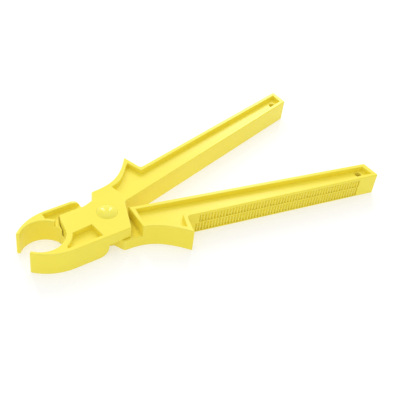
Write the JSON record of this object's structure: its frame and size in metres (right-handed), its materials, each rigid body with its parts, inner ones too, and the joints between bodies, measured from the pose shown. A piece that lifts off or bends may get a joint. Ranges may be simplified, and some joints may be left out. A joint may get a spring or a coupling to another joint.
{
  "type": "fuse puller",
  "caption": "Moulded plastic fuse puller: two crossed lever arms with curved jaws, finger guards and channelled, ribbed handles on one dome-headed pivot pin.",
  "frame": {"origin": "pivot axis at the tool's flat underside, on the face of the pivot cap", "axes": "+X along the tool towards the handles, +Y towards the upper arm's handle, +Z along the pivot axis towards the pin's domed head"},
  "size_m": [0.1862, 0.0888, 0.0143],
  "materials": {
    "arm_plastic": "moulded yellow plastic, satin to semi-gloss",
    "pin_plastic": "glossy yellow plastic"
  },
  "bodies": {
    "lower_lever": {"lower_arm": "arm_plastic", "pivot_pin": "pin_plastic", "pivot_cap": "pin_plastic"},
    "upper_lever": {"upper_arm": "arm_plastic"}
  },
  "joints": [
    {"name": "jaw_pivot", "type": "hinge", "parent": "lower_lever", "child": "upper_lever", "pos_m": [0, 0, 0], "axis": [0, 0, 1], "range_deg": [-4.5, 23]}
  ]
}
